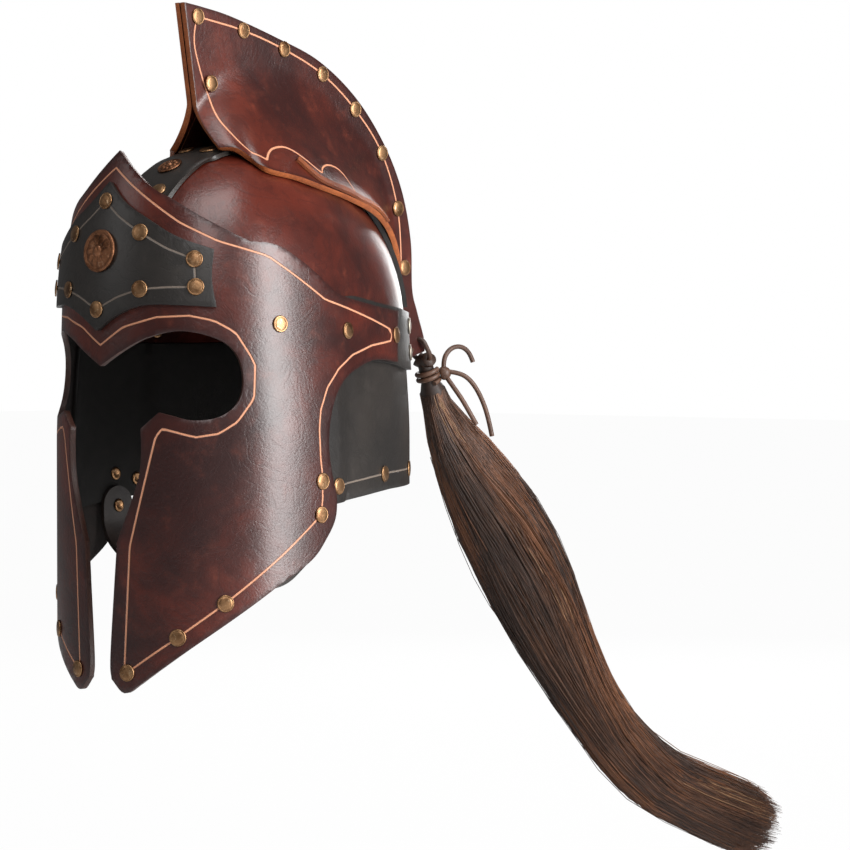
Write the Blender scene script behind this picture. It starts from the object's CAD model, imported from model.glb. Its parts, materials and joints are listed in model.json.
import bpy, bmesh, json, math, random
from mathutils import Vector, Matrix, noise

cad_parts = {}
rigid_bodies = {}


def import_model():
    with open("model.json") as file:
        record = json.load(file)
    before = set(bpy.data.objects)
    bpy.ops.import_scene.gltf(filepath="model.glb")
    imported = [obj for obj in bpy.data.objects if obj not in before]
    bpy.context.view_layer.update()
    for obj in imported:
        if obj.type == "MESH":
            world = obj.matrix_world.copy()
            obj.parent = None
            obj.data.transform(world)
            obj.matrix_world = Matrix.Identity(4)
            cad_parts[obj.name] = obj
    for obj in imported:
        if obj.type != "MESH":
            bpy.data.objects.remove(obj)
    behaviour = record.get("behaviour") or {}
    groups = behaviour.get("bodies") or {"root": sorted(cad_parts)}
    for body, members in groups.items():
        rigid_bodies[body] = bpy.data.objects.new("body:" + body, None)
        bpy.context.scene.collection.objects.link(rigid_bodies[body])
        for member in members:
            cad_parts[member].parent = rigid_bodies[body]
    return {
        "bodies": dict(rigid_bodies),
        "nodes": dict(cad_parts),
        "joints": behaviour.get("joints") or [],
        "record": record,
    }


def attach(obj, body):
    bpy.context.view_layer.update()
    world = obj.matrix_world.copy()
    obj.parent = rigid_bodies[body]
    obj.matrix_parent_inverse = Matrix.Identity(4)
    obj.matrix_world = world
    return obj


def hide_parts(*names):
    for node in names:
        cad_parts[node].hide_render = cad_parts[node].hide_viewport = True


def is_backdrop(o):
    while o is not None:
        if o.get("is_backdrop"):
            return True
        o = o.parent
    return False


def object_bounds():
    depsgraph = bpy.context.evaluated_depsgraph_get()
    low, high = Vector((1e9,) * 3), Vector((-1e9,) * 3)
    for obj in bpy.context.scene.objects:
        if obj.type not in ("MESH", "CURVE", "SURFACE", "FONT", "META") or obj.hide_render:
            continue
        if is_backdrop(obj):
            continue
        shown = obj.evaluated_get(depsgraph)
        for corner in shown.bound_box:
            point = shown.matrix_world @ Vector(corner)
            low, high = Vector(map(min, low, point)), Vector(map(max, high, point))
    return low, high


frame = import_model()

mm = 0.001
nodes = frame["nodes"]
sizes = {"cad": [list(corner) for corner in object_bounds()]}
scene = bpy.context.scene
scene.view_settings.view_transform = "Standard"


# Camera, lights and floor

view = {
    "place": (1.5305, -1.5844, 0.0),
    "turn": 41.1,          # degrees from +Y towards -X
    "dip": 1.546,
    "lens": 149.08,
    "sensor": 36,
    "farthest": 50,
    "floorDrop": 0.03,
}


def addCamera(values):
    turn, dip = math.radians(values["turn"]), math.radians(values["dip"])
    right = Vector((math.cos(turn), math.sin(turn), 0))
    level = math.cos(dip)
    ahead = Vector((-math.sin(turn) * level, math.cos(turn) * level, -math.sin(dip)))
    up = right.cross(ahead)
    data = bpy.data.cameras.new("camera")
    data.lens, data.sensor_width = values["lens"], values["sensor"]
    data.clip_end = values["farthest"]
    camera = bpy.data.objects.new("camera", data)
    scene.collection.objects.link(camera)
    turned = Matrix((right, up, -ahead)).transposed().to_4x4()
    camera.matrix_world = Matrix.Translation(values["place"]) @ turned
    scene.camera = camera


addCamera(view)
print("camera ready")


# Free lace ends: the points of their routes in mm, as in the CAD

laces = {
    "lace_end_short": [(7.4, 180.4, -26.4), (7.4, 180.0, -19.9), (8.2, 183.8, -13.8),
                       (9.2, 190.2, -10.7), (10.2, 197.4, -11.4), (11.2, 203.0, -15.9),
                       (12.0, 204.8, -21.3)],
    "lace_end_long": [(10.6, 182.0, -27.6), (15.8, 186.8, -28.3), (20.0, 193.0, -33.0),
                      (23.0, 199.0, -42.5), (25.0, 205.0, -56.5), (25.8, 208.2, -70.5)],
    "lace_end_middle": [(9.4, 181.2, -31.4), (13.5, 183.0, -37.5), (17.5, 186.5, -45.0),
                        (20.5, 191.0, -54.0), (22.5, 196.0, -62.5)],
}
laceLook = {"radius": 1.6, "sides": 5, "steps": 12, "cutCorners": 0.96}


def smoothCurve(name, points, radius):
    curve = bpy.data.curves.new(name, "CURVE")
    curve.dimensions = "3D"
    spline = curve.splines.new("NURBS")
    spline.points.add(len(points) - 1)
    for spot, point in zip(spline.points, points):
        spot.co = (point[0] * mm, point[1] * mm, point[2] * mm, 1)
        spot.radius = radius * mm
    spline.order_u = 3
    spline.use_endpoint_u = True
    curve.resolution_u = laceLook["steps"]
    curve.bevel_depth = 1.0        # so each point's radius is the lace's own, also in the bounds
    curve.bevel_resolution = laceLook["sides"]
    curve.use_fill_caps = True
    piece = bpy.data.objects.new(name, curve)
    scene.collection.objects.link(piece)
    return piece


laceEnds = []
for node, points in laces.items():
    piece = smoothCurve(node.replace("_", "") + "Look", points, laceLook["radius"])
    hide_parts(node)
    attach(piece, "tail")
    laceEnds.append(piece)
print("lace ends ready")


# Shader helpers

class Wire:
    def __init__(self, net, socket):
        self.net, self.socket = net, socket

    def math(self, operation, *others):
        return self.net.node("ShaderNodeMath", {"operation": operation},
                             dict(enumerate((self,) + others)))

    def __add__(self, other): return self.math("ADD", other)
    def __radd__(self, other): return self.math("ADD", other)
    def __sub__(self, other): return self.math("SUBTRACT", other)
    def __mul__(self, other): return self.math("MULTIPLY", other)
    def __abs__(self): return self.math("ABSOLUTE")

    def step(self, low, high, start=0.0, end=1.0):
        return self.net.node("ShaderNodeMapRange", {"interpolation_type": "SMOOTHSTEP"},
                             {0: self, 1: low, 2: high, 3: start, 4: end})


class Net:
    def __init__(self, name):
        self.material = bpy.data.materials.new(name)
        self.material.use_nodes = True
        self.tree = self.material.node_tree
        self.tree.nodes.clear()

    def node(self, kind, settings=None, values=None, output=0):
        made = self.tree.nodes.new(kind)
        for key, value in (settings or {}).items():
            setattr(made, key, value)
        for key, value in (values or {}).items():
            if isinstance(value, Wire):
                self.tree.links.new(value.socket, made.inputs[key])
            else:
                made.inputs[key].default_value = value
        return Wire(self, made.outputs[output])

    def place(self):
        return self.node("ShaderNodeTexCoord", output="Object")

    def noise(self, scale, detail, rough, warp, at, seed=0.0):
        return self.node("ShaderNodeTexNoise", {"noise_dimensions": "4D"},
                         {"Vector": at, "W": seed, "Scale": scale, "Detail": detail,
                          "Roughness": rough, "Distortion": warp})

    def cells(self, scale, at):
        return self.node("ShaderNodeTexVoronoi", None, {"Vector": at, "Scale": scale}, "Distance")

    def mix(self, share, one, two):
        made = self.tree.nodes.new("ShaderNodeMix")
        made.data_type = "RGBA"
        for index, value in ((0, share), (6, one), (7, two)):
            if isinstance(value, Wire):
                self.tree.links.new(value.socket, made.inputs[index])
            else:
                made.inputs[index].default_value = value if index == 0 else (*value, 1)
        return Wire(self, made.outputs[2])

    def value(self, name):
        return self.node("ShaderNodeAttribute", {"attribute_name": name}, output="Fac")

    def finish(self, colour, roughness, height, metallic=0.0, coat=0.0):
        bump = self.node("ShaderNodeBump", None, {"Strength": 1.0, "Distance": mm, "Height": height})
        shader = self.node("ShaderNodeBsdfPrincipled", None, {
            "Base Color": colour, "Roughness": roughness, "Metallic": metallic,
            "Coat Weight": coat, "Coat Roughness": 0.24, "Normal": bump})
        out = self.tree.nodes.new("ShaderNodeOutputMaterial")
        self.tree.links.new(shader.socket, out.inputs["Surface"])
        return self.material


# Finishes

leatherLooks = {
    "redLeather": {"deep": (0.018, 0.0020, 0.0013), "main": (0.092, 0.0120, 0.0050),
                   "worn": (0.19, 0.036, 0.0145), "line": (0.62, 0.27, 0.15),
                   "rough": 0.26, "grain": 0.055, "coat": 0.25},
    "crestLeather": {"deep": (0.022, 0.0026, 0.0016), "main": (0.106, 0.0146, 0.0060),
                     "worn": (0.20, 0.037, 0.016), "line": (0.62, 0.27, 0.15),
                     "rough": 0.26, "grain": 0.055, "coat": 0.25},
    "blackLeather": {"deep": (0.0088, 0.0070, 0.0060), "main": (0.020, 0.0158, 0.0132),
                     "worn": (0.042, 0.033, 0.027), "line": (0.16, 0.125, 0.10),
                     "rough": 0.36, "grain": 0.03, "coat": 0.1},
    "strapLeather": {"deep": (0.010, 0.006, 0.005), "main": (0.028, 0.018, 0.014),
                     "worn": (0.06, 0.04, 0.03), "line": (0.16, 0.09, 0.06),
                     "rough": 0.45, "grain": 0.05, "coat": 0.1},
    "laceLeather": {"deep": (0.026, 0.010, 0.006), "main": (0.095, 0.042, 0.022),
                    "worn": (0.22, 0.115, 0.064), "line": (0.3, 0.12, 0.05),
                    "rough": 0.45, "grain": 0.06, "coat": 0.1},
    "crestLace": {"deep": (0.090, 0.018, 0.005), "main": (0.26, 0.065, 0.016),
                  "worn": (0.48, 0.17, 0.05), "line": (0.3, 0.12, 0.05),
                  "rough": 0.5, "grain": 0.08, "coat": 0.0},
}


# Scales of the leather's marks, and how the tooled line and the dark rim fade, in mm
pattern = {
    "patches": 9.0, "spots": 70.0, "crease": 34.0, "shaken": 260.0, "pebbles": 620.0,
    "fine": 1500.0, "shake": 0.0016, "line": (0.40, 0.85), "rim": (0.3, 4.0),
}


def leather(name, look):
    net = Net(name)
    at = net.place()
    patches = net.noise(pattern["patches"], 4.0, 0.6, 0.6, at)
    spots = net.noise(pattern["spots"], 3.0, 0.6, 0.3, at, 3.0)
    wobble = net.node("ShaderNodeTexNoise", None, {"Vector": at, "Scale": pattern["shaken"]}, "Color")
    shaken = net.node("ShaderNodeVectorMath", {"operation": "SCALE"},
                      {0: wobble, "Scale": pattern["shake"]})
    moved = net.node("ShaderNodeVectorMath", {"operation": "ADD"}, {0: at, 1: shaken})
    pebbles = net.cells(pattern["pebbles"], moved)
    fine = net.noise(pattern["fine"], 2.0, 0.5, 0.0, at)
    crease = abs(net.noise(pattern["crease"], 5.0, 0.62, 1.6, at, 7.0) - 0.5)
    crease = crease.step(0.0, 0.05, 1.0, 0.0)
    groove = abs(net.value("groove")).step(*pattern["line"], 1.0, 0.0) * net.value("grooved")
    rim = net.value("rim").step(*pattern["rim"], 1.0, 0.0) * net.value("edged")
    colour = net.mix(patches.step(0.35, 0.66), look["deep"], look["main"])
    colour = net.mix(spots.step(0.52, 0.86) * 0.4, colour, look["worn"])
    colour = net.mix(crease * 0.3, colour, look["deep"])
    colour = net.mix(rim * 0.7, colour, look["deep"])
    colour = net.mix(groove * 0.92, colour, look["line"])
    rough = look["rough"] + spots * 0.12 + groove * 0.25 + fine * 0.05
    height = pebbles * look["grain"] + fine * 0.02 - crease * 0.04 - groove * 0.6 + patches * 0.3
    return net.finish(colour, rough, height, coat=look["coat"])


def plainGrain(name, deep, main, rough, scale, grain):
    net = Net(name)
    at = net.place()
    broad = net.noise(scale / 12, 3.0, 0.6, 0.4, at)
    close = net.noise(scale, 4.0, 0.65, 0.2, at, 2.0)
    colour = net.mix((broad * 0.5 + close * 0.6).step(0.3, 0.8), deep, main)
    return net.finish(colour, rough + close * 0.15, close * grain + broad * grain)


def metal(name, deep, main, bright, rough):
    net = Net(name)
    at = net.place()
    broad = net.noise(90.0, 4.0, 0.6, 0.5, at)
    dots = net.noise(900.0, 3.0, 0.6, 0.0, at, 4.0)
    scratches = net.noise(300.0, 2.0, 0.5, 2.0, at, 6.0)
    colour = net.mix(broad.step(0.32, 0.6), deep, main)
    colour = net.mix(scratches.step(0.56, 0.75) * 0.6, colour, bright)
    rough = rough + dots * 0.18 + broad * 0.12
    return net.finish(colour, rough, dots * 0.03 + scratches * 0.05, metallic=1.0)


finishes = {name: leather(name, look) for name, look in leatherLooks.items()}
grainLooks = {      # dark tone, light tone, roughness, scale of the grain, its height in mm
    "rawEdge": ((0.15, 0.032, 0.008), (0.46, 0.125, 0.028), 0.6, 900.0, 0.12),
    "darkEdge": ((0.020, 0.007, 0.005), (0.060, 0.020, 0.012), 0.4, 900.0, 0.06),
    "fleshSide": ((0.004, 0.0022, 0.0016), (0.014, 0.0075, 0.0052), 0.85, 1400.0, 0.16),
    "blackFlesh": ((0.003, 0.0025, 0.0022), (0.009, 0.0072, 0.006), 0.85, 1400.0, 0.16),
}
metalLooks = {      # tarnish, main tone, worn tone, roughness
    "agedBrass": ((0.12, 0.056, 0.026), (0.34, 0.19, 0.095), (0.66, 0.48, 0.30), 0.24),
    "ornamentBrass": ((0.085, 0.034, 0.017), (0.27, 0.12, 0.062), (0.52, 0.30, 0.19), 0.3),
    "silverRivet": ((0.30, 0.24, 0.18), (0.56, 0.50, 0.42), (0.80, 0.76, 0.68), 0.24),
    "buckleMetal": ((0.12, 0.09, 0.06), (0.36, 0.30, 0.22), (0.60, 0.54, 0.44), 0.3),
}
finishes.update({name: plainGrain(name, *look) for name, look in grainLooks.items()})
finishes.update({name: metal(name, *look) for name, look in metalLooks.items()})
print("finishes ready")


def dress(node, name):
    piece = nodes[node]
    piece.data.materials.clear()
    piece.data.materials.append(finishes[name])


def give(piece, *names):
    for name in names:
        piece.data.materials.append(finishes[name])


def addPiece(name, bm, materials, body="helmet", replaced=()):
    mesh = bpy.data.meshes.new(name)
    bm.to_mesh(mesh)
    bm.free()
    piece = bpy.data.objects.new(name, mesh)
    scene.collection.objects.link(piece)
    give(piece, *materials)
    for face in mesh.polygons:
        face.use_smooth = True
    if replaced:
        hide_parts(*replaced)
    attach(piece, body)
    return piece


# The helmet's wall: flat patterns in (s, z) mm are wrapped on it

wall = {
    "arcs": [(77, 86.5), (22, 150.0), (13, 305.0), (22, 200.0)],
    "front": 125.0,
    "half": 349.147,
    "lean": 16.3,
    "flare": (1.5, 3.5),
    "mask": 3.6, "plate": 3.2, "strap": 2.8, "guard": 2.6, "gap": 0.3,
    "strapStart": 177.0, "strapEase": 10.0, "peak": 108.0, "flareTop": 10.0, "flareDepth": 80.0,
}
wall["plateOff"] = wall["plate"] + wall["gap"]
wall["faceOff"] = -wall["mask"] - wall["gap"]


def ease(t):
    t = min(max(t, 0.0), 1.0)
    return t * t * (3 - 2 * t)


def nearSide(s):
    s = abs(s)
    return s if s < wall["half"] else 2 * wall["half"] - s


def wallPlan(s, off=0.0):
    side = -1 if s < 0 or s > wall["half"] else 1
    rest, x, y, turn = nearSide(s), 0.0, -wall["front"], 0.0
    for degrees, radius in wall["arcs"] + [(180, None)]:
        if radius is None:
            radius = x / math.sin(turn)
        step = min(rest / radius, math.radians(degrees))
        x += radius * (math.sin(turn + step) - math.sin(turn))
        y -= radius * (math.cos(turn + step) - math.cos(turn))
        turn += step
        rest -= step * radius
        if rest <= 0:
            break
    return side * (x + off * math.sin(turn)), y - off * math.cos(turn), turn


def wallPoint(s, z, off=0.0):
    turn = wallPlan(s)[2]
    lean = wall["lean"] * (max(z, 0.0) / wall["peak"]) ** 2
    flare = wall["flare"][0] + wall["flare"][1] * math.sin(turn) ** 2
    flare *= ease((wall["flareTop"] - z) / wall["flareDepth"])
    x, y, _ = wallPlan(s, off - lean + flare)
    return Vector((x, y, z))


def wallNormal(s, z):
    along = wallPoint(s + 0.1, z) - wallPoint(s - 0.1, z)
    up = wallPoint(s, z + 0.1) - wallPoint(s, z - 0.1)
    return along.cross(up).normalized()


def lining(s):
    under = ease((nearSide(s) - wall["strapStart"] + wall["strapEase"]) / wall["strapEase"])
    return wall["faceOff"] - (wall["strap"] + wall["gap"]) * under


def smoothLine(points, gap=3.0):
    if len(points) == 2:
        return list(points)
    ends = [tuple(2 * a - b for a, b in zip(points[0], points[1]))]
    ends.append(tuple(2 * a - b for a, b in zip(points[-1], points[-2])))
    line = [ends[0]] + list(points) + [ends[1]]
    out = []
    for p, a, b, q in zip(line, line[1:], line[2:], line[3:]):
        count = max(1, math.ceil(math.dist(a, b) / gap))
        for k in range(count):
            t = k / count
            out.append(tuple(0.5 * (2 * y + (z - x) * t + (2 * x - 5 * y + 4 * z - w) * t * t
                                    + (3 * y - x - 3 * z + w) * t ** 3)
                             for x, y, z, w in zip(p, a, b, q)))
    return out + [points[-1]]


def bothHalves(strokes):
    return strokes + [[(-s, z) for s, z in reversed(stroke)] for stroke in reversed(strokes)]


def distanceTo(spot, line):
    best, sign = 1e9, 1
    for (ax, ay), (bx, by) in zip(line, line[1:]):
        dx, dy = bx - ax, by - ay
        size = dx * dx + dy * dy or 1e-9
        t = min(max(((spot[0] - ax) * dx + (spot[1] - ay) * dy) / size, 0.0), 1.0)
        ex, ey = spot[0] - ax - t * dx, spot[1] - ay - t * dy
        far = ex * ex + ey * ey
        if far < best:
            best, sign = far, 1 if dx * ey - dy * ex > 0 else -1
    return math.sqrt(best), sign


def cutSheet(strokes, cell, groove, put):
    outline = []
    for stroke in strokes:
        outline += smoothLine(stroke)[:-1]
    bm = bmesh.new()
    corners = [bm.verts.new((s, z, 0)) for s, z in outline]
    ring = [bm.edges.new(pair) for pair in zip(corners, corners[1:] + corners[:1])]
    bmesh.ops.contextual_create(bm, geom=ring)
    for axis, way in ((0, (1, 0, 0)), (1, (0, 1, 0))):
        low, high = min(p[axis] for p in outline), max(p[axis] for p in outline)
        count = math.ceil((high - low) / cell[axis])
        for k in range(1, count):
            place = low + (high - low) * k / count
            bmesh.ops.bisect_plane(bm, geom=bm.verts[:] + bm.edges[:] + bm.faces[:], dist=0.05,
                                   plane_co=[place * c for c in way], plane_no=way)
    closed = outline + outline[:1]
    grooveLayer = bm.verts.layers.float.new("groove")
    grooved = bm.verts.layers.float.new("grooved")
    rim = bm.verts.layers.float.new("rim")
    edged = bm.verts.layers.float.new("edged")
    flat = bm.loops.layers.uv.new("pattern")
    for face in bm.faces:
        for corner in face.loops:
            corner[flat].uv = corner.vert.co.xy * 0.002
    for vert in bm.verts:
        spot = vert.co.xy
        vert[rim] = distanceTo(spot, closed)[0]
        vert[edged] = 1.0
        if isinstance(groove, (int, float)):
            vert[grooveLayer], vert[grooved] = vert[rim] - groove, 1.0
        elif groove:
            far, sign = distanceTo(spot, groove)
            vert[grooveLayer], vert[grooved] = far * sign, 1.0
    for vert in bm.verts:
        vert.co = put(vert.co.x, vert.co.y) * mm
    bm.normal_update()
    middle = max(bm.faces, key=lambda face: face.calc_area())
    outward = Vector((middle.calc_center_median().x, middle.calc_center_median().y, 0))
    if middle.normal.dot(outward) < 0:
        bmesh.ops.reverse_faces(bm, faces=bm.faces[:])
    return bm


def thicken(piece, thickness, bevel=0.45):
    solid = piece.modifiers.new("thickness", "SOLIDIFY")
    solid.thickness, solid.offset = thickness * mm, -1
    solid.material_offset, solid.material_offset_rim = 2, 1        # flesh side, cut edge
    solid.use_even_offset = True
    rounded = piece.modifiers.new("roundEdges", "BEVEL")
    rounded.width, rounded.segments, rounded.limit_method = bevel * mm, 2, "ANGLE"
    rounded.angle_limit = math.radians(55)
    rounded.use_clamp_overlap = True


# Face mask

mask = {
    "outline": [
        [(0, 108), (31.1, 86), (47.9, 77.8), (64.7, 68.6), (82.7, 59.6), (97.3, 52.9)],
        [(97.3, 52.9), (118.3, 50.2), (144, 35.6), (155.1, 27.8), (166, 22), (182, 18.6),
         (217.1, 14.15), (247, 11.9)],
        [(247, 11.9), (240.8, -19.9)],
        [(240.8, -19.9), (205.3, -18.3), (176.1, -25.6), (161, -36), (152.4, -52), (149.9, -69.1),
         (152.4, -85.6), (156.6, -100.1), (155.6, -113.9), (147.2, -126.5), (136.1, -138),
         (112.9, -151.8)],
        [(112.9, -151.8), (30.1, -210.5)],
        [(30.1, -210.5), (19, -216.6), (9.5, -208.6)],
        [(9.5, -208.6), (8.5, -197.1), (11.5, -155.1), (13.8, -126.6)],
        [(13.8, -126.6), (24.9, -99.4), (29.6, -84), (30.5, -70), (30.1, -58.7)],
        [(30.1, -58.7), (41.5, -48.95)],
        [(41.5, -48.95), (49.4, -50.9), (61.75, -53.5), (76.7, -51.55), (87.7, -43.2),
         (91.4, -30.1), (88.2, -15.4), (77.1, -5.6), (54.7, -0.6), (34.6, -4.2), (18.7, -11.3),
         (0, -21.5)]],
    "groove": [(0, 97.5), (53.3, 63.7), (77.2, 52.8), (109.4, 44.1), (152.4, 18.4), (195, 8.6),
               (232.5, 0), (231.7, -6.6), (201.6, -9.5), (177.6, -15.2), (162.5, -23.3),
               (150.6, -34.7), (143.8, -48.3), (142.1, -59.8), (142.9, -77.1), (144.4, -86.4),
               (144.4, -90.9), (144.6, -101), (143.2, -111.2), (112, -136.5), (80.2, -162.2),
               (52.8, -182.4), (21, -204.2), (19.1, -200.8), (22.9, -129.1), (39.8, -63.4),
               (43.8, -58.4), (63.2, -63.5), (76.7, -61.4), (87.5, -54.5), (97.6, -40.6),
               (98.9, -21), (96.1, -15.1), (87.2, -1.3), (74.3, 5.6), (59.7, 8.5), (39.5, 7.6),
               (17.5, 1.7), (0, -9.1)],
    "cell": (4.0, 4.5),
}


def buildMask():
    left = mask["groove"]
    loop = left + [(-s, z) for s, z in reversed(left[1:-1])]
    bm = cutSheet(bothHalves(mask["outline"]), mask["cell"], loop + loop[:1], wallPoint)
    piece = addPiece("faceMaskLook", bm, ("redLeather", "darkEdge", "fleshSide"),
                     replaced=("face_mask",))
    thicken(piece, wall["mask"])


buildMask()
print("face mask ready")


# Brow plate

browPlate = {
    "outline": [[(0, 89), (15.1, 76.5), (32.5, 66.6), (52.9, 55.2), (74.3, 47.9)],
                [(74.3, 47.9), (72.9, 30.7), (75.5, 13.6)],
                [(75.5, 13.6), (54.4, 14.7), (32.5, 14.7), (15.1, 8.9), (0, -0.3)]],
    "groove": [(0, 77.2), (12, 68), (28.7, 58), (46, 48.5), (62.7, 42), (63.5, 25.6), (47, 25.4),
               (30.2, 24.3), (15, 19.5), (0, 12.3)],
    "cell": (4.0, 4.5),
}


def buildPlate():
    left = browPlate["groove"]
    loop = left + [(-s, z) for s, z in reversed(left[:-1])]
    bm = cutSheet(bothHalves(browPlate["outline"]), browPlate["cell"], loop,
                  lambda s, z: wallPoint(s, z, wall["plateOff"]))
    piece = addPiece("browPlateLook", bm, ("blackLeather", "blackLeather", "blackFlesh"),
                     replaced=("brow_plate",))
    thicken(piece, wall["plate"])


buildPlate()
print("brow plate ready")


# Back strap and neck guard

rearPieces = {
    "strapTop": [(177, 20), (189.1, 20.8), (223.5, 16.8), (263.1, 13.8), (285.5, 12.1),
                 (349.147, 10)],
    "strapFoot": [(177, -13.5), (209.7, -18.75), (240.7, -21), (280.3, -24.75), (349.147, -26)],
    "guardTop": [(98, -8.6), (349.147, -8.6)],
    "guardFoot": [(98, -112), (148.2, -107), (164.8, -105), (190.9, -102.55), (226.1, -99.9),
                  (255.5, -99), (349.147, -98.5)],
    "groove": 10.4,
    "cell": (5.0, 8.0),
}


def allRound(line):
    return line + [(2 * wall["half"] - s, z) for s, z in reversed(line[:-1])]


def buildRear(name, top, foot, off, thickness, node, groove):
    top, foot = allRound(top), list(reversed(allRound(foot)))
    strokes = [top, [top[-1], foot[0]], foot, [foot[-1], top[0]]]
    bm = cutSheet(strokes, rearPieces["cell"], groove, lambda s, z: wallPoint(s, z, off(s)))
    piece = addPiece(name, bm, ("blackLeather", "blackLeather", "blackFlesh"), replaced=(node,))
    thicken(piece, thickness)


buildRear("backStrapLook", rearPieces["strapTop"], rearPieces["strapFoot"],
          lambda s: wall["faceOff"], wall["strap"], "back_strap", None)
buildRear("neckGuardLook", rearPieces["guardTop"], rearPieces["guardFoot"], lining, wall["guard"],
          "neck_guard",
          smoothLine([(s, z + rearPieces["groove"]) for s, z in allRound(rearPieces["guardFoot"])]))
print("rear pieces ready")


# Crest panels: stations from front to back, each with its foot, its rim and how much of it
# curves out

crest = {
    "feet": [(18.8, -42.8, 109.8), (26.0, -37.1, 108.9), (34.5, -30.5, 101.9), (43.5, -26.5, 95.8),
             (46.1, -5.7, 92.2), (46.7, 11.2, 88.4), (39.9, 52.8, 80.5), (31.3, 88.0, 71.2),
             (19.3, 115.9, 54.4), (7.6, 133.7, 28.0), (0.48, 138.3, 12.0), (0.48, 139.9, -6.0),
             (0.48, 146.9, -19.0)],
    "rims": [(-57.9, 200), (-41.5, 198), (-17.4, 194), (21.6, 184), (61.9, 171.4), (96.9, 150),
             (124, 122), (141.9, 92), (151.1, 59), (152.6, 27), (157.5, 12), (164.5, -6),
             (165, -14)],
    "spread": [0.31, 0.42, 0.64, 0.8, 0.84, 0.84, 0.84, 0.76, 0.6, 0.4, 0.4, 0.4, 0.4],
    "sideGap": 0.48, "leather": 3.6, "bend": 1.5, "bevel": 0.4, "cells": (110, 44), "cell": 2.5,
    "front": [(-46.5, 192), (-49, 184), (-49.3, 175), (-46.5, 165), (-40.6, 150), (-37, 143),
              (-36.2, 128.2), (-34.1, 118.7), (-31.6, 110.9), (-27.7, 105.5), (-23.5, 101.3)],
    "loops": [(-23.5, 101.3), (-20.3, 104.6), (-13.3, 108.8), (-2.1, 110.8), (6.4, 109.2),
              (15.3, 104.2), (22.3, 99.3), (28.5, 95.4), (31.5, 98.4), (40.6, 101.3), (50, 101.2),
              (57.2, 98.8), (61.5, 94), (63, 87), (66, 76), (75, 62)],
    "outside": [(90, 52), (131, 18)],
    "rim": [(140, 24), (141.8, 40.7), (138.1, 79.3), (122.7, 114.9), (96.9, 142), (65.9, 162.9),
            (30.2, 176.6), (-6.5, 186), (-46.5, 192)],
}


def crestGroove():
    return (smoothLine(crest["front"])[:-1] + smoothLine(crest["loops"]) + crest["outside"]
            + smoothLine(crest["rim"]))


def crestGrid():
    rows = []
    along, down = crest["cells"]
    line = [feet + rim + (spread,)
            for feet, rim, spread in zip(crest["feet"], crest["rims"], crest["spread"])]
    stations = smoothStations(line, along)
    for fx, fy, fz, ry, rz, spread in stations:
        row = []
        for k in range(down + 1):
            share = k / down
            away = max(0.0, (share - 1 + spread) / spread) ** crest["bend"]
            row.append((crest["sideGap"] + (fx - crest["sideGap"]) * away, ry + (fy - ry) * share,
                        rz + (fz - rz) * share))
        rows.append(row)
    return rows


def smoothStations(line, count):
    ends = [tuple(2 * a - b for a, b in zip(line[0], line[1]))] + list(line)
    ends.append(tuple(2 * a - b for a, b in zip(line[-1], line[-2])))
    out = []
    for i in range(count + 1):
        place = min(i / count * (len(line) - 1), len(line) - 1 - 1e-9)
        k, t = int(place), place - int(place)
        p, a, b, q = ends[k:k + 4]
        out.append(tuple(0.5 * (2 * y + (z - x) * t + (2 * x - 5 * y + 4 * z - w) * t * t
                                + (3 * y - x - 3 * z + w) * t ** 3) for x, y, z, w in zip(p, a, b, q)))
    return out


def buildCrest(side):
    rows = crestGrid()
    line = crestGroove()
    across, down = len(rows) - 1, len(rows[0]) - 1
    bm = bmesh.new()
    bmesh.ops.create_grid(bm, x_segments=across, y_segments=down, size=0.5)
    groove, grooved = bm.verts.layers.float.new("groove"), bm.verts.layers.float.new("grooved")
    rim, edged = bm.verts.layers.float.new("rim"), bm.verts.layers.float.new("edged")
    for vert in bm.verts:
        i, k = round((vert.co.x + 0.5) * across), round((vert.co.y + 0.5) * down)
        x, y, z = rows[i][k]
        far, sign = distanceTo((y, z), line)
        vert[groove], vert[grooved] = far * sign, 1.0
        vert[rim], vert[edged] = crest["cell"] * min(i, across - i, k, down - k), 1.0
        vert.co = Vector((side * x, y, z)) * mm
    bm.normal_update()
    top = max(bm.faces, key=lambda face: face.calc_center_median().z)
    if top.normal.x * side < 0:
        bmesh.ops.reverse_faces(bm, faces=bm.faces[:])
    name = "Left" if side > 0 else "Right"
    piece = addPiece("crest%sLook" % name, bm, ("crestLeather", "rawEdge", "fleshSide"),
                     replaced=("crest_" + name.lower(),))
    thicken(piece, crest["leather"], crest["bevel"])
    piece.modifiers["thickness"].offset = 1
    piece.modifiers["thickness"].material_offset = 0


buildCrest(1)
buildCrest(-1)
print("crest ready")


# Rivets: a flat disc in a thin ring, with the post and its tail behind the leather

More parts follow.
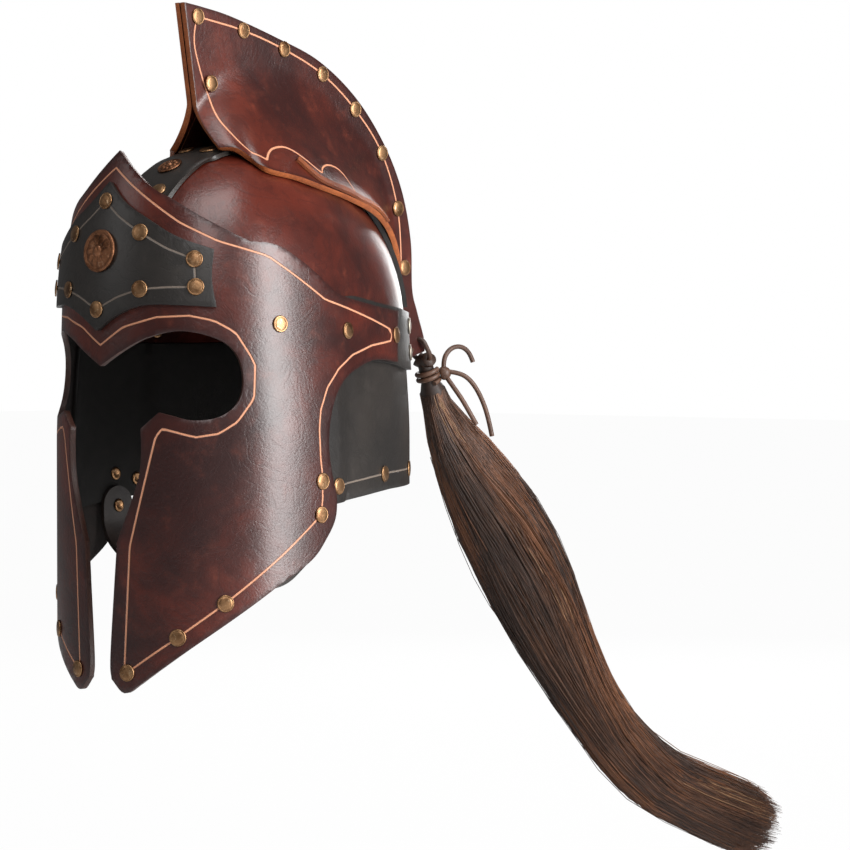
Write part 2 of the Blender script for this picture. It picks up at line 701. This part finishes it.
rivetShape = [(0, 1.50), (1.6, 1.46), (3.0, 1.34), (4.0, 1.16), (4.28, 0.98), (4.5, 1.14),
              (4.85, 1.08), (5.1, 0.8), (5.2, 0.5), (5.15, 0.16), (1.5, 0.16)]
rivetTail = [(1.5, 0.0), (4.1, 0.0), (4.2, -0.4), (3.8, -0.95), (2.6, -1.0), (2.0, -0.7), (0, -0.5)]
rivets = {
    "cheek": [(21, -204.3), (52.9, -182.4), (80.3, -162.2)],        # (s, z), then mirrored
    "side": [(116.1, 3.6), (173.8, -0.3), (240, -3.1)],
    "rearEdge": [(144.4, -91)],
    "chin": [(143.3, -111.1)],
    "brow": [(0, 77.2), (28.7, 58), (62.7, 42), (63.5, 25.6), (30.2, 24.3)],
    "browLow": [(0, 12.3)],
    "strap": [(300, 2.6), (300, -14.4)],
    "guard": [(163.0, -94.7), (227.0, -89.5), (288.1, -88.4), (349.147, -88.1), (410.2, -88.4),
              (471.2, -89.5), (535.3, -94.7)],        # all the way round, so not mirrored
    "crown": [((9.3, -102.0, 64.4), (0.114, -0.836, 0.537)),
              ((9.3, -85.8, 84.3), (0.116, -0.693, 0.711)),
              ((9.1, -42.9, 110.2), (0.045, -0.305, 0.951))],        # place and direction
    "crest": [(4.1, -46.5, 192), (4.1, -6.5, 186), (4.1, 30.2, 176.6), (4.1, 65.9, 162.9),
              (4.1, 96.9, 142), (4.1, 122.7, 114.9), (4.2, 138.1, 79.3), (6.8, 141.8, 40.7),
              (5.7, -36.5, 151.5)],
    "grip": {"cheek": 3.8, "side": 9.8, "rearEdge": 6.7, "chin": 10.5, "brow": 7.3, "browLow": 13.2,
             "strap": 6.2, "guard": 2.9, "crown": 6.2, "crest": 2.2},
    "steps": 20,
}


def addSpun(bm, profile, point, normal, steps, petals=None):
    corners = [bm.verts.new((r, 0, h)) for r, h in profile]
    lines = [bm.edges.new(pair) for pair in zip(corners, corners[1:])]
    bmesh.ops.spin(bm, geom=corners + lines, axis=(0, 0, 1), cent=(0, 0, 0), angle=2 * math.pi,
                   steps=steps, use_merge=True)
    fresh = [v for v in bm.verts if not v.tag]
    bmesh.ops.remove_doubles(bm, verts=fresh, dist=0.001)
    fresh = [v for v in bm.verts if not v.tag]
    if petals:
        for vert in fresh:
            petals(vert)
    turned = normal.to_track_quat("Z", "Y").to_matrix().to_4x4()
    placed = Matrix.Scale(mm, 4) @ Matrix.Translation(point) @ turned
    bmesh.ops.transform(bm, matrix=placed, verts=fresh)
    for vert in fresh:
        vert.tag = True


def addRivets(name, node, places, finish="agedBrass"):
    bm = bmesh.new()
    for point, normal, grip in places:
        profile = rivetShape + [(r, h - grip) for r, h in rivetTail]
        addSpun(bm, profile, point, normal, rivets["steps"])
    bmesh.ops.recalc_face_normals(bm, faces=bm.faces[:])
    addPiece(name, bm, (finish,), "helmet", (node,))


def onWall(kind, off=0, mirror=True):
    out = []
    for s, z in rivets[kind]:
        for sign in ((1, -1) if mirror and s else (1,)):
            base = off(s) if callable(off) else off
            place, way = wallPoint(sign * s, z, base), wallNormal(sign * s, z)
            out.append((place, way, rivets["grip"][kind]))
    return out


addRivets("cheekRivets", "cheek_rivets", onWall("cheek"))
addRivets("sideRivets", "side_rivets", onWall("side"))
addRivets("rearEdgeRivets", "rear_edge_rivets", onWall("rearEdge"))
addRivets("chinRivets", "chin_rivets", onWall("chin"))
addRivets("browRivets", "brow_plate_rivets",
          onWall("brow", wall["plateOff"]) + onWall("browLow", wall["plateOff"]))
addRivets("strapRivets", "back_strap_rivets", onWall("strap", wall["faceOff"]), "silverRivet")
addRivets("guardRivets", "neck_guard_rivets", onWall("guard", lining, False))
addRivets("crownRivets", "crown_strap_rivets",
          [(Vector((side * x, y, z)), Vector((side * a, b, c)), rivets["grip"]["crown"])
           for (x, y, z), (a, b, c) in rivets["crown"] for side in (1, -1)])
addRivets("crestRivets", "crest_rivets",
          [(Vector((side * x, y, z)), Vector((side, 0, 0)), rivets["grip"]["crest"])
           for x, y, z in rivets["crest"] for side in (1, -1)])
print("rivets ready")


# Round ornaments: rim, ring of petals and a boss

ornament = {
    "petals": 10, "deep": 0.55, "steps": 60, "tall": 4.2, "screw": (2, -2.8), "foot": 0.16,
    "full": 13.0,        # radius at which the height and the petals are as given
    "ring": (0.3, 0.8),
    "brow": (47.2, 13.0),
    "crown": ((0, -66.7, 99.8), (0, -0.521, 0.854), 8.0),
    "profile": [(0, 1), (0.14, 0.95), (0.24, 0.72), (0.28, 0.5), (0.36, 0.55), (0.46, 0.62),
                (0.56, 0.6), (0.66, 0.5), (0.76, 0.34), (0.82, 0.3), (0.87, 0.42), (0.93, 0.44),
                (0.99, 0.3)],
}


def petalled(size):
    low, high = ornament["ring"]

    def shape(vert):
        far = math.hypot(vert.co.x, vert.co.y) / size
        if low < far < high and vert.co.z > 0:
            wave = math.cos(ornament["petals"] * math.atan2(vert.co.y, vert.co.x))
            swell = math.sin((far - low) / (high - low) * math.pi)
            vert.co.z += ornament["deep"] * wave * size / ornament["full"] * swell
    return shape


def addOrnament(name, node, point, normal, size):
    tall = ornament["tall"] * size / ornament["full"]
    screw, foot = ornament["screw"], ornament["foot"]
    profile = [(r * size, h * tall) for r, h in ornament["profile"]]
    profile += [(size, foot), (screw[0], foot), screw, (0, screw[1])]
    bm = bmesh.new()
    addSpun(bm, profile, point, normal, ornament["steps"], petalled(size))
    bmesh.ops.recalc_face_normals(bm, faces=bm.faces[:])
    addPiece(name, bm, ("ornamentBrass",), "helmet", (node,))


browHeight, browSize = ornament["brow"]
addOrnament("browOrnament", "brow_concho", wallPoint(0, browHeight, wall["plateOff"]),
            wallNormal(0, browHeight), browSize)
crownPlace, crownWay, crownSize = ornament["crown"]
addOrnament("crownOrnament", "crown_concho", Vector(crownPlace), Vector(crownWay), crownSize)
print("ornaments ready")


# Horsehair tail: a dark core under strands that follow its line

tail = {
    "head": (0, 169.5, -20.5),
    "neck": {"way": (0, 0.342, -0.94), "length": 16.5, "radius": 5.0, "ring": (0, 165.1, -14.4),
             "reach": 42},
    "line": [(8, -19.6, 17.3), (14.8, -32.5, 23.7), (29.6, -54.3, 38.4), (51.5, -79.1, 51.2),
             (71.8, -102.6, 60.2), (97.5, -135.1, 64), (119, -165.2, 62.1), (148.6, -206.5, 50.6),
             (184.5, -248.5, 42.9), (212.2, -273.4, 44.2), (250.6, -300, 44.2), (302.3, -321, 47.4),
             (354.1, -339.5, 49.9), (390, -349, 37.1)],
    "flat": 0.8,
    "full": 1.07,
    "core": {"rings": 60, "slims": 8, "full": 0.98, "slimmer": 0.14, "tapers": 54, "taper": 0.12},
    "locks": {"hairDark": 27, "hairBrown": 33, "hairRed": 16, "hairPale": 3},
    "perLock": 62,
    "thick": 0.30,
    "spots": 16,
    "stations": 48,
    "seed": 11,
    "lockDrift": 0.55, "drift": 0.10,        # radians that locks and hairs turn round the tail
    "spread": 0.20, "depth": 0.06, "ends": 2.6, "endSpread": 1.1,
    "strays": 0.035, "wave": (0.2, 0.9), "strayWave": 2.6,
    "thinFrom": 0.8, "thinned": 0.75,
}


def tailFrames(count):
    line = [(0.0, y + tail["head"][1], z + tail["head"][2], w) for y, z, w in tail["line"]]
    stations = smoothStations(line, count)
    out = []
    for i, (x, y, z, w) in enumerate(stations):
        before, after = stations[max(i - 1, 0)], stations[min(i + 1, count)]
        along = Vector((0, after[1] - before[1], after[2] - before[2])).normalized()
        out.append((Vector((x, y, z)), Vector((1, 0, 0)), Vector((1, 0, 0)).cross(along), w / 2))
    return out


def neckFrames(count):
    way, size = Vector(tail["neck"]["way"]), tail["neck"]["radius"]
    return [(Vector(tail["head"]) + way * (tail["neck"]["length"] * k / count), Vector((1, 0, 0)),
             Vector((1, 0, 0)).cross(way), size) for k in range(count)]


def tubeOf(rings, bm):
    loops = []
    for index, (centre, side, across, wide, flat) in enumerate(rings):
        made = bmesh.ops.create_circle(bm, segments=32, radius=1.0)["verts"]
        for vert in made:
            angle = math.atan2(vert.co.y, vert.co.x)
            at = Vector((math.cos(angle) * 3, math.sin(angle) * 3, index * 0.05))
            rough = 1 + 0.05 * noise.noise(at)
            vert.co = (centre + side * (math.cos(angle) * wide * rough * flat)
                       + across * (math.sin(angle) * wide * rough)) * mm
        loops.append(made)
    for one, two in zip(loops, loops[1:]):
        edges = {edge for vert in one + two for edge in vert.link_edges
                 if edge.other_vert(vert) in (one if vert in one else two)}
        bmesh.ops.bridge_loops(bm, edges=list(edges))
    bmesh.ops.contextual_create(bm, geom=loops[0])
    bmesh.ops.contextual_create(bm, geom=loops[-1])
    bmesh.ops.recalc_face_normals(bm, faces=bm.faces[:])


def tailCore():
    core = tail["core"]
    frames = tailFrames(core["rings"])
    rings = [frame + (1.0,) for frame in neckFrames(4)]
    for i, (centre, side, across, wide) in enumerate(frames):
        share = min(1.0, i / core["slims"])
        reach = wide * (core["full"] - core["slimmer"] * share)
        reach *= 1.0 - core["taper"] * max(0, i - core["tapers"])
        flat = tail["flat"] + (1 - tail["flat"]) * (1 - min(1.0, i / 3))
        rings.append((centre, side, across, reach, flat))
    bm = bmesh.new()
    tubeOf(rings, bm)
    addPiece("tailCore", bm, ("hairCore",), "tail", ("ponytail",))


def tailHead():
    middle, ring = Vector(tail["neck"]["ring"]), tail["neck"]
    down = (Vector(tail["head"]) - middle).normalized()
    rings = []
    for k in range(9):
        angle = math.radians(ring["reach"]) * (k / 4 - 1)
        out = down * math.cos(angle) + Vector((1, 0, 0)) * math.sin(angle)
        spot = middle + out * (Vector(tail["head"]) - middle).length
        rings.append((spot, out, Vector((1, 0, 0)).cross(down), ring["radius"], 1.0))
    bm = bmesh.new()
    tubeOf(rings, bm)
    addPiece("tailHead", bm, ("hairDark",), "tail", ("ponytail",))


def hairStrands(name, locks, finish, seed):
    rng = random.Random(seed)
    count = tail["stations"]
    frames = tailFrames(count)
    curve = bpy.data.curves.new(name, "CURVE")
    curve.dimensions = "3D"
    curve.bevel_depth, curve.bevel_resolution = 1.0, 0
    spots = tail["spots"]
    for _ in range(locks):
        lockAngle, lockDepth = rng.uniform(0, 2 * math.pi), math.sqrt(rng.uniform(0.45, 1.0))
        lockDrift = rng.gauss(0, tail["lockDrift"])
        lockEnd, lockPhase = rng.uniform(0, tail["ends"]), rng.uniform(0, 6.3)
        for _ in range(tail["perLock"]):
            angle = lockAngle + rng.gauss(0, tail["spread"])
            depth = min(1.0, max(0.3, lockDepth + rng.gauss(0, tail["depth"])))
            start = 0 if rng.random() < 0.9 else rng.uniform(0, 14)
            end = count - lockEnd - abs(rng.gauss(0, tail["endSpread"]))
            drift, phase = lockDrift + rng.gauss(0, tail["drift"]), lockPhase + rng.gauss(0, 0.3)
            stray = rng.random() < tail["strays"]
            wave = rng.uniform(*tail["wave"]) * (tail["strayWave"] if stray else 1.0)
            spline = curve.splines.new("POLY")
            spline.points.add(spots - 1)
            for k in range(spots):
                t = k / (spots - 1)
                place = min(start + (end - start) * t, count - 0.001)
                i, part = int(place), place - int(place)
                centre = frames[i][0].lerp(frames[i + 1][0], part)
                wide = frames[i][3] + (frames[i + 1][3] - frames[i][3]) * part
                turn = angle + drift * t + 0.12 * math.sin(lockPhase + 5 * t)
                full = 1 + (tail["full"] - 1 + (0.05 if stray else 0)) * min(1, place / 10)
                reach = depth * wide * full * (1 - 0.06 * math.sin(lockPhase + 7 * t) ** 2)
                if i >= count - 6:
                    reach *= 1 + 0.035 * (place - count + 6) * math.sin(lockPhase * 3)
                flat = tail["flat"] + (1 - tail["flat"]) * (1 - min(1.0, place / 3))
                spot = (centre + frames[i][1] * (math.cos(turn) * reach * flat)
                        + frames[i][2] * (math.sin(turn) * reach))
                sway = wave * min(1, 4 * t)
                spot += Vector((math.sin(phase + 9 * t), 0, math.cos(phase * 2 + 8 * t))) * sway
                spline.points[k].co = (*(spot * mm), 1)
                thinner = max(0.0, (t - tail["thinFrom"]) / (1 - tail["thinFrom"]))
                spline.points[k].radius = tail["thick"] * mm * (1 - tail["thinned"] * thinner)
    piece = bpy.data.objects.new(name, curve)
    scene.collection.objects.link(piece)
    give(piece, finish)
    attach(piece, "tail")


hairGrain = (0.5, 400.0, 0.05)        # roughness, scale of the grain, its height in mm
hairLooks = {        # dark tone, light tone
    "hairCore": ((0.010, 0.004, 0.002), (0.030, 0.012, 0.006)),
    "hairDark": ((0.016, 0.006, 0.003), (0.050, 0.020, 0.009)),
    "hairBrown": ((0.034, 0.0120, 0.0048), (0.092, 0.0340, 0.0125)),
    "hairRed": ((0.062, 0.0195, 0.0062), (0.170, 0.0610, 0.0205)),
    "hairPale": ((0.15, 0.072, 0.031), (0.31, 0.180, 0.088)),
}
for index, (name, (deep, main)) in enumerate(hairLooks.items()):
    finishes[name] = plainGrain(name, deep, main, *hairGrain)
    if index:
        hairStrands(name + "Strands", tail["locks"][name], name, tail["seed"] + index)
tailCore()
tailHead()
print("tail ready")


# Pieces whose CAD shape stays

for finish, kept in {
    "redLeather": ("skull_cap_left", "skull_cap_right"),
    "blackLeather": ("crown_strap",),
    "crestLace": ("crest_lace_left", "crest_lace_right"),
    "laceLeather": ("crest_tie_lace", "tail_loop", "tail_winding", "tail_knot"),
    "strapLeather": ("chin_strap_left", "chin_strap_right", "strap_keeper"),
    "fleshSide": ("chin_spacers",),
    "agedBrass": ("chin_strap_rivet",),
    "buckleMetal": ("buckle_frame", "buckle_prong"),
}.items():
    for node in kept:
        dress(node, finish)
for piece in laceEnds:
    give(piece, "laceLeather")


# Floor, backdrop and lights

light = {
    "floor": (0.62, 0.62, 0.62),
    "floorWhite": 0.97,
    "floorSize": 12.0,
    "floorRough": 0.8,
    "ambient": 0.12,
    "panels": [((2.15, 0.45, 0.5), (1.0, 1.9), 85.0), ((0.5, -0.3, 2.3), (1.3, 1.3), 26.0),
               ((-1.2, -2.2, 0.9), (1.0, 1.0), 6.0), ((1.9, -1.7, 1.2), (0.9, 0.9), 16.0),
               ((-1.2, 2.0, 0.7), (1.0, 1.4), 30.0)],
}


def addFloor():
    low = min(corner[2] for corner in sizes["cad"])
    bm = bmesh.new()
    bmesh.ops.create_grid(bm, x_segments=1, y_segments=1, size=light["floorSize"])
    bmesh.ops.translate(bm, vec=(0, 0, low - view["floorDrop"]), verts=bm.verts[:])
    mesh = bpy.data.meshes.new("floor")
    bm.to_mesh(mesh)
    bm.free()
    floor = bpy.data.objects.new("floor", mesh)
    scene.collection.objects.link(floor)
    net = Net("floorPaint")
    paint = net.node("ShaderNodeBsdfPrincipled", None,
                     {"Base Color": (*light["floor"], 1), "Roughness": light["floorRough"]})
    white = net.node("ShaderNodeEmission", None, {"Color": (1, 1, 1, 1), "Strength": 1.0})
    seen = net.node("ShaderNodeLightPath", output="Is Camera Ray") * light["floorWhite"]
    both = net.tree.nodes.new("ShaderNodeMixShader")
    out = net.tree.nodes.new("ShaderNodeOutputMaterial")
    for wire, socket in ((seen, both.inputs[0]), (paint, both.inputs[1]), (white, both.inputs[2])):
        net.tree.links.new(wire.socket, socket)
    net.tree.links.new(both.outputs[0], out.inputs["Surface"])
    floor.data.materials.append(net.material)
    floor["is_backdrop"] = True


def addWorld():
    world = bpy.data.worlds.new("studio")
    scene.world = world
    world.use_nodes = True
    tree = world.node_tree
    tree.nodes.clear()
    out = tree.nodes.new("ShaderNodeOutputWorld")
    back = tree.nodes.new("ShaderNodeBackground")
    paths = tree.nodes.new("ShaderNodeLightPath")
    back.inputs["Color"].default_value = (1, 1, 1, 1)
    span = tree.nodes.new("ShaderNodeMapRange")
    span.inputs[3].default_value = light["ambient"]
    span.inputs[4].default_value = 1.0
    tree.links.new(paths.outputs["Is Camera Ray"], span.inputs[0])
    tree.links.new(span.outputs[0], back.inputs["Strength"])
    tree.links.new(back.outputs[0], out.inputs["Surface"])


def addPanels():
    target = Vector((0, 0, 0))
    for index, (place, size, power) in enumerate(light["panels"]):
        data = bpy.data.lights.new("panel%d" % index, "AREA")
        data.shape, data.size, data.size_y, data.energy = "RECTANGLE", size[0], size[1], power
        lamp = bpy.data.objects.new("panel%d" % index, data)
        scene.collection.objects.link(lamp)
        lamp.location = place
        lamp.rotation_euler = (target - Vector(place)).to_track_quat("-Z", "Y").to_euler()


addFloor()
addWorld()
addPanels()
print("stage ready")

sizes["made"] = [list(corner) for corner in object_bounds()]
